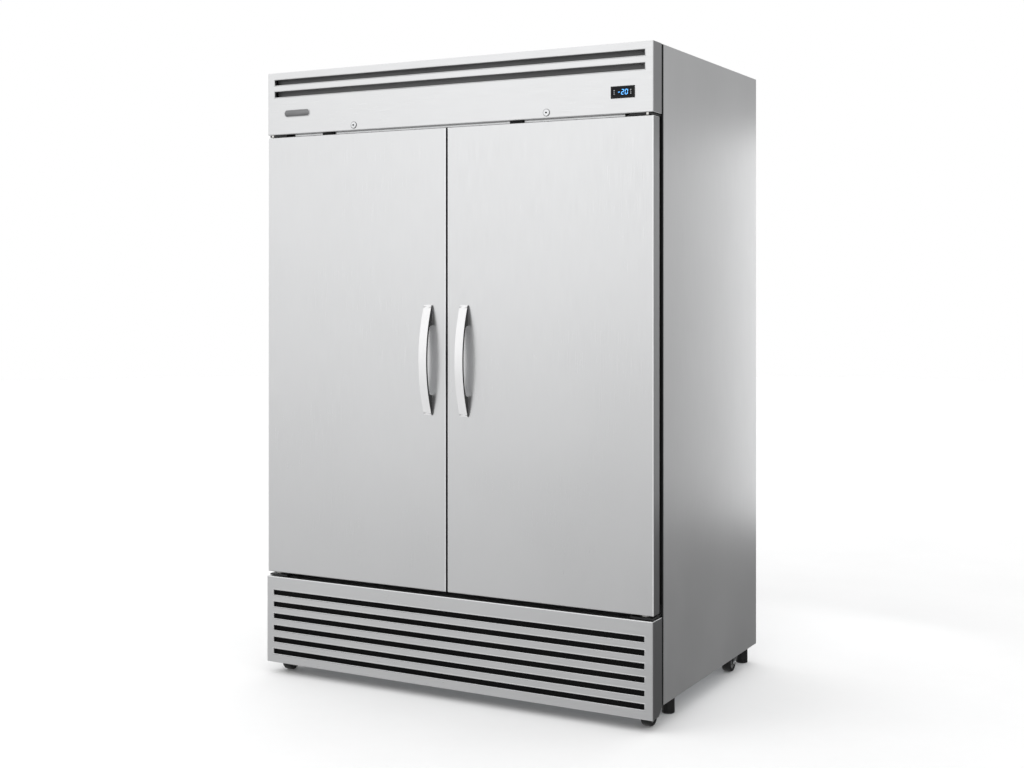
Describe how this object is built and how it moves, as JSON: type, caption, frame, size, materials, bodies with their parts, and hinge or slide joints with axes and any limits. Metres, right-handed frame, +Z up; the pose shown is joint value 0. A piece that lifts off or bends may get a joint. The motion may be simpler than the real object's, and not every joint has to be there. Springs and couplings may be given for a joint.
{
  "type": "two-door reach-in refrigerator",
  "caption": "Upright stainless steel commercial reach-in refrigerator with hinged solid doors, arched pulls, slotted header and lower grille, on castors.",
  "frame": {"origin": "middle of the whole object's bounding box, on the floor", "axes": "+Z up; the doors face -Y; X runs across the front, +X to the right of someone facing the doors"},
  "size_m": [1.397, 0.958, 2.0065],
  "materials": {
    "stainless": "fine horizontal brushed grain, satin",
    "liner_stainless": "brushed, duller than the outside",
    "satin_stainless": "bright satin polish",
    "galvanised_steel": "matt zinc coating with faint spangle",
    "foam": "rigid polyurethane foam",
    "chrome": "bright plated",
    "aluminium_fins": "mill finish fins",
    "black_steel": "black enamel",
    "black_plastic": "moulded",
    "gasket_rubber": "soft magnetic profile",
    "castor_tread": "hard rubber",
    "display_lens": "clear gloss over black"
  },
  "bodies": {
    "cabinet": {"left_side_panel": "stainless", "right_side_panel": "stainless", "top_panel": "stainless", "rear_panel": "galvanised_steel", "rear_vent_panel": "galvanised_steel", "machine_deck": "galvanised_steel", "base_pan": "galvanised_steel", "foam_insulation": "foam", "inner_liner": "liner_stainless", "liner_floor": "liner_stainless", "face_frame": "stainless", "centre_mullion": "stainless", "header_panel": "stainless", "controller_bezel": "black_plastic", "display_lens": "display_lens", "left_lock_barrel": "chrome", "right_lock_barrel": "chrome", "left_top_hinge": "chrome", "right_top_hinge": "chrome", "left_bottom_hinge": "black_steel", "right_bottom_hinge": "black_steel", "lower_grille": "stainless", "condenser_coil": "aluminium_fins", "condenser_fan_shroud": "galvanised_steel", "compressor": "black_steel", "evaporator_cover": "liner_stainless", "cord_gland": "black_plastic", "left_lower_shelf": "chrome", "left_middle_shelf": "chrome", "left_upper_shelf": "chrome", "right_lower_shelf": "chrome", "right_middle_shelf": "chrome", "right_upper_shelf": "chrome"},
    "left_door": {"left_door_skin": "stainless", "left_door_foam": "foam", "left_door_liner": "liner_stainless", "left_door_gasket": "gasket_rubber", "left_door_handle": "satin_stainless"},
    "left_lock": {"left_lock_plug": "chrome"},
    "left_evaporator_fan": {"left_evaporator_fan": "black_plastic"},
    "right_door": {"right_door_skin": "stainless", "right_door_foam": "foam", "right_door_liner": "liner_stainless", "right_door_gasket": "gasket_rubber", "right_door_handle": "satin_stainless"},
    "right_lock": {"right_lock_plug": "chrome"},
    "right_evaporator_fan": {"right_evaporator_fan": "black_plastic"},
    "condenser_fan": {"condenser_fan": "black_plastic"},
    "front_left_castor": {"front_left_castor_fork": "chrome"},
    "front_left_wheel": {"front_left_castor_wheel": "castor_tread"},
    "front_left_foot": {"front_left_foot": "black_plastic"},
    "front_right_castor": {"front_right_castor_fork": "chrome"},
    "front_right_wheel": {"front_right_castor_wheel": "castor_tread"},
    "front_right_foot": {"front_right_foot": "black_plastic"},
    "rear_left_castor": {"rear_left_castor_fork": "chrome"},
    "rear_left_wheel": {"rear_left_castor_wheel": "castor_tread"},
    "rear_left_foot": {"rear_left_foot": "black_plastic"},
    "rear_right_castor": {"rear_right_castor_fork": "chrome"},
    "rear_right_wheel": {"rear_right_castor_wheel": "castor_tread"},
    "rear_right_foot": {"rear_right_foot": "black_plastic"}
  },
  "joints": [
    {"name": "left_door_hinge", "type": "hinge", "parent": "cabinet", "child": "left_door", "pos_m": [-0.6645, -0.416, 0.3386], "axis": [0, 0, -1], "range_deg": [0, 120]},
    {"name": "left_lock_turn", "type": "hinge", "parent": "cabinet", "child": "left_lock", "pos_m": [-0.35075, -0.441, 1.816], "axis": [0, 1, 0], "range_deg": [0, 90]},
    {"name": "left_evaporator_fan_spin", "type": "hinge", "parent": "cabinet", "child": "left_evaporator_fan", "pos_m": [-0.25, -0.111, 1.795], "axis": [0, 0, 1], "continuous": true},
    {"name": "right_door_hinge", "type": "hinge", "parent": "cabinet", "child": "right_door", "pos_m": [0.6645, -0.416, 0.3386], "axis": [0, 0, 1], "range_deg": [0, 120]},
    {"name": "right_lock_turn", "type": "hinge", "parent": "cabinet", "child": "right_lock", "pos_m": [0.35075, -0.441, 1.816], "axis": [0, 1, 0], "range_deg": [0, 90]},
    {"name": "right_evaporator_fan_spin", "type": "hinge", "parent": "cabinet", "child": "right_evaporator_fan", "pos_m": [0.25, -0.111, 1.795], "axis": [0, 0, 1], "continuous": true},
    {"name": "condenser_fan_spin", "type": "hinge", "parent": "cabinet", "child": "condenser_fan", "pos_m": [0, -0.2985, 0.21], "axis": [0, 1, 0], "continuous": true},
    {"name": "front_left_castor_swivel", "type": "hinge", "parent": "cabinet", "child": "front_left_castor", "pos_m": [-0.6545, -0.349, 0.07], "axis": [0, 0, 1], "continuous": true},
    {"name": "front_left_wheel_spin", "type": "hinge", "parent": "front_left_castor", "child": "front_left_wheel", "pos_m": [-0.6545, -0.371, 0.031], "axis": [1, 0, 0], "continuous": true},
    {"name": "front_left_foot_screw", "type": "slide", "parent": "cabinet", "child": "front_left_foot", "axis": [0, 0, -1], "range_m": [0, 0.015]},
    {"name": "front_right_castor_swivel", "type": "hinge", "parent": "cabinet", "child": "front_right_castor", "pos_m": [0.6545, -0.349, 0.07], "axis": [0, 0, 1], "continuous": true},
    {"name": "front_right_wheel_spin", "type": "hinge", "parent": "front_right_castor", "child": "front_right_wheel", "pos_m": [0.6545, -0.371, 0.031], "axis": [1, 0, 0], "continuous": true},
    {"name": "front_right_foot_screw", "type": "slide", "parent": "cabinet", "child": "front_right_foot", "axis": [0, 0, -1], "range_m": [0, 0.015]},
    {"name": "rear_left_castor_swivel", "type": "hinge", "parent": "cabinet", "child": "rear_left_castor", "pos_m": [-0.6545, 0.331, 0.07], "axis": [0, 0, 1], "continuous": true},
    {"name": "rear_left_wheel_spin", "type": "hinge", "parent": "rear_left_castor", "child": "rear_left_wheel", "pos_m": [-0.6545, 0.309, 0.031], "axis": [1, 0, 0], "continuous": true},
    {"name": "rear_left_foot_screw", "type": "slide", "parent": "cabinet", "child": "rear_left_foot", "axis": [0, 0, -1], "range_m": [0, 0.015]},
    {"name": "rear_right_castor_swivel", "type": "hinge", "parent": "cabinet", "child": "rear_right_castor", "pos_m": [0.6545, 0.331, 0.07], "axis": [0, 0, 1], "continuous": true},
    {"name": "rear_right_wheel_spin", "type": "hinge", "parent": "rear_right_castor", "child": "rear_right_wheel", "pos_m": [0.6545, 0.309, 0.031], "axis": [1, 0, 0], "continuous": true},
    {"name": "rear_right_foot_screw", "type": "slide", "parent": "cabinet", "child": "rear_right_foot", "axis": [0, 0, -1], "range_m": [0, 0.015]}
  ]
}
